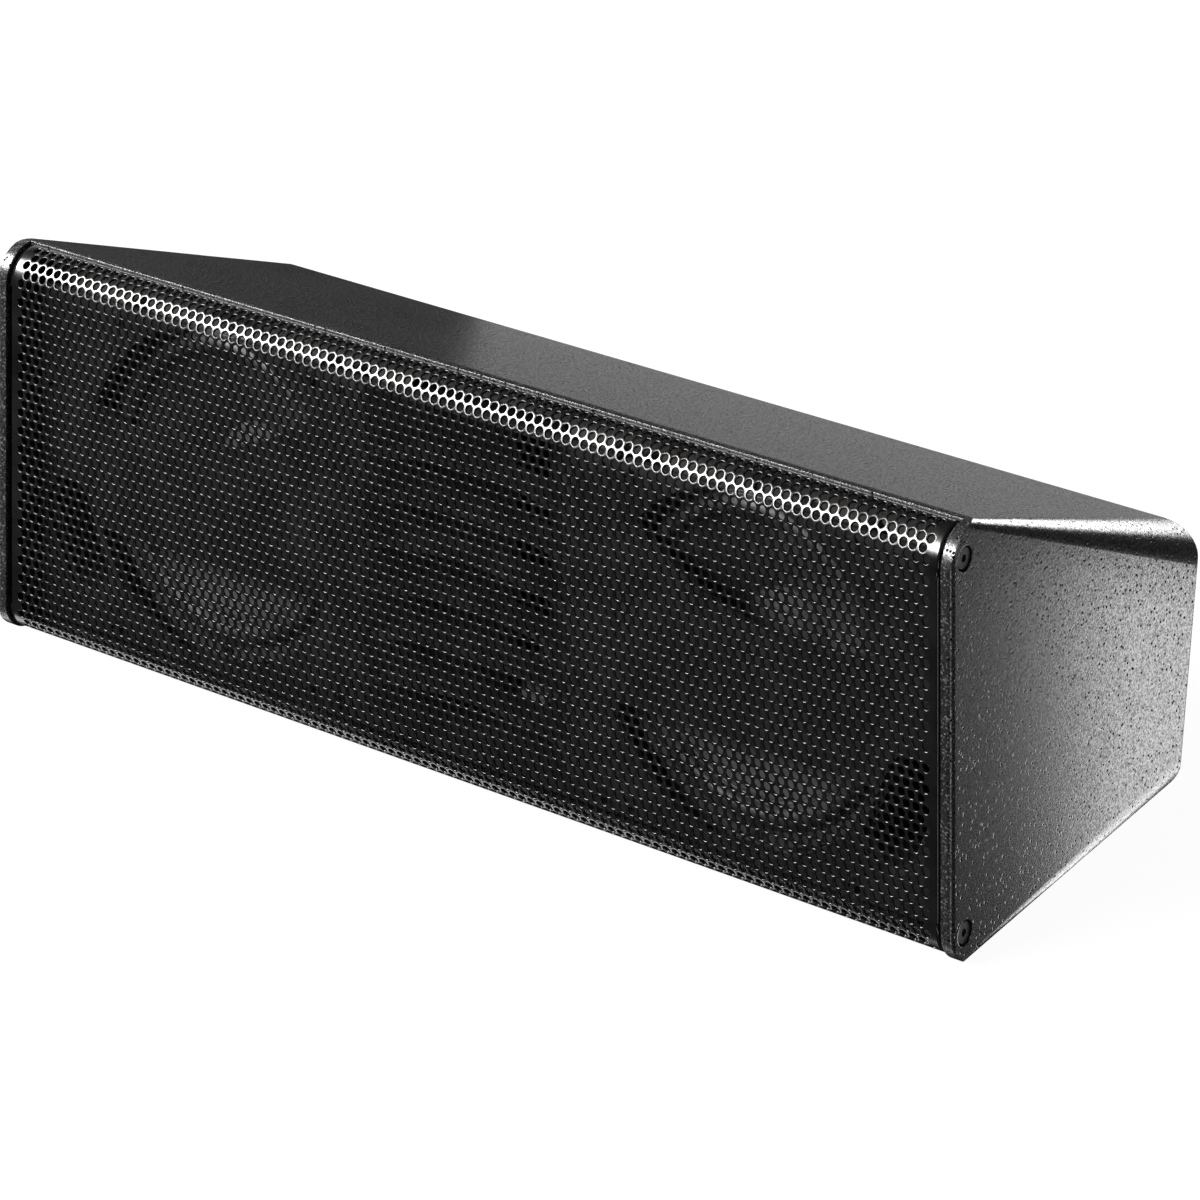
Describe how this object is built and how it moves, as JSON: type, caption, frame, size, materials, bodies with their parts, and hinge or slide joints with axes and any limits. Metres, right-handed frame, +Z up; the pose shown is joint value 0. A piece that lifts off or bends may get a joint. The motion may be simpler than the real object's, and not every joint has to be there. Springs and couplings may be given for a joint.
{
  "type": "line array speaker",
  "caption": "Wedge-shaped loudspeaker cabinet with a curved-edge perforated grille, twin woofers, central horn with vanes, ports and a rear connector panel.",
  "frame": {"origin": "centre of the flat base, midway between the front edge of the cheeks and the rearmost point", "axes": "+X to the right seen from the front (the long way), +Y from the grille to the rear, +Z up from the base"},
  "size_m": [0.548, 0.1952, 0.1817],
  "materials": {
    "shell": "fine pitted textured coating, semi-gloss black",
    "grille": "satin black powder coat",
    "dark_steel": "black",
    "black_screw": "black oxide",
    "board_wood": "plywood, painted black",
    "plate": "moulded, fine grain",
    "horn": "moulded, fine grain",
    "zinc_steel": "zinc plated",
    "ferrite": "sintered ferrite, dark grey",
    "cast_alloy": "cast",
    "dome": "thin titanium-like foil",
    "coil": "copper-clad winding",
    "film": "polyimide film",
    "moulded_cap": "moulded black",
    "circuit_board": "solder mask",
    "brass": "turned",
    "copper_winding": "enamelled copper",
    "capacitor": "film capacitor sleeve",
    "resistor": "cement block",
    "panel": "black powder coat",
    "socket": "moulded",
    "wadding": "polyester wadding",
    "cable": "black sheath",
    "cast_basket": "die cast, black",
    "gasket": "foam rubber",
    "surround": "rubber roll",
    "cone_paper": "pressed paper pulp, dark grey",
    "spider_cloth": "impregnated cloth",
    "terminal": "phenolic block with tin-plated tabs"
  },
  "bodies": {
    "cabinet": {"connector_panel": "panel", "connector_panel_screws": "black_screw", "connector_sockets": "socket", "crossover_board": "circuit_board", "crossover_capacitors": "capacitor", "crossover_inductors": "copper_winding", "crossover_resistors": "resistor", "crossover_screws": "zinc_steel", "crossover_standoffs": "brass", "damping_pads": "wadding", "enclosure_shell": "shell", "front_baffle": "board_wood", "grille": "grille", "grille_brackets": "dark_steel", "grille_screws": "black_screw", "hf_driver_screws": "black_screw", "hf_magnet": "ferrite", "hf_phase_plug": "cast_alloy", "hf_pole_piece": "zinc_steel", "hf_rear_cap": "moulded_cap", "hf_suspension": "film", "hf_top_plate": "zinc_steel", "horn": "horn", "horn_screws": "black_screw", "horn_vanes": "horn", "internal_wiring": "cable", "left_phase_plate": "plate", "left_port_tube": "plate", "left_woofer_back_plate": "zinc_steel", "left_woofer_basket": "cast_basket", "left_woofer_gasket": "gasket", "left_woofer_magnet": "ferrite", "left_woofer_screws": "black_screw", "left_woofer_spider": "spider_cloth", "left_woofer_surround": "surround", "left_woofer_terminals": "terminal", "left_woofer_top_plate": "zinc_steel", "mounting_inserts": "brass", "phase_plate_screws": "black_screw", "right_phase_plate": "plate", "right_port_tube": "plate", "right_woofer_back_plate": "zinc_steel", "right_woofer_basket": "cast_basket", "right_woofer_gasket": "gasket", "right_woofer_magnet": "ferrite", "right_woofer_screws": "black_screw", "right_woofer_spider": "spider_cloth", "right_woofer_surround": "surround", "right_woofer_terminals": "terminal", "right_woofer_top_plate": "zinc_steel", "waveguide": "horn", "waveguide_screws": "black_screw"},
    "left_cone_assembly": {"left_woofer_cone": "cone_paper", "left_woofer_dust_cap": "cone_paper", "left_woofer_voice_coil": "coil"},
    "right_cone_assembly": {"right_woofer_cone": "cone_paper", "right_woofer_dust_cap": "cone_paper", "right_woofer_voice_coil": "coil"},
    "hf_dome_assembly": {"hf_diaphragm": "dome", "hf_voice_coil": "coil"}
  },
  "joints": [
    {"name": "left_cone_travel", "type": "slide", "parent": "cabinet", "child": "left_cone_assembly", "axis": [0, -1, 0], "range_m": [-0.005, 0.005], "stiffness_N_per_m": 2600, "deforming": ["left_woofer_surround", "left_woofer_spider"]},
    {"name": "right_cone_travel", "type": "slide", "parent": "cabinet", "child": "right_cone_assembly", "axis": [0, -1, 0], "range_m": [-0.005, 0.005], "stiffness_N_per_m": 2600, "deforming": ["right_woofer_surround", "right_woofer_spider"]},
    {"name": "hf_dome_travel", "type": "slide", "parent": "cabinet", "child": "hf_dome_assembly", "axis": [0, -1, 0], "range_m": [-0.0003, 0.0003], "stiffness_N_per_m": 1500, "deforming": ["hf_suspension"]}
  ]
}
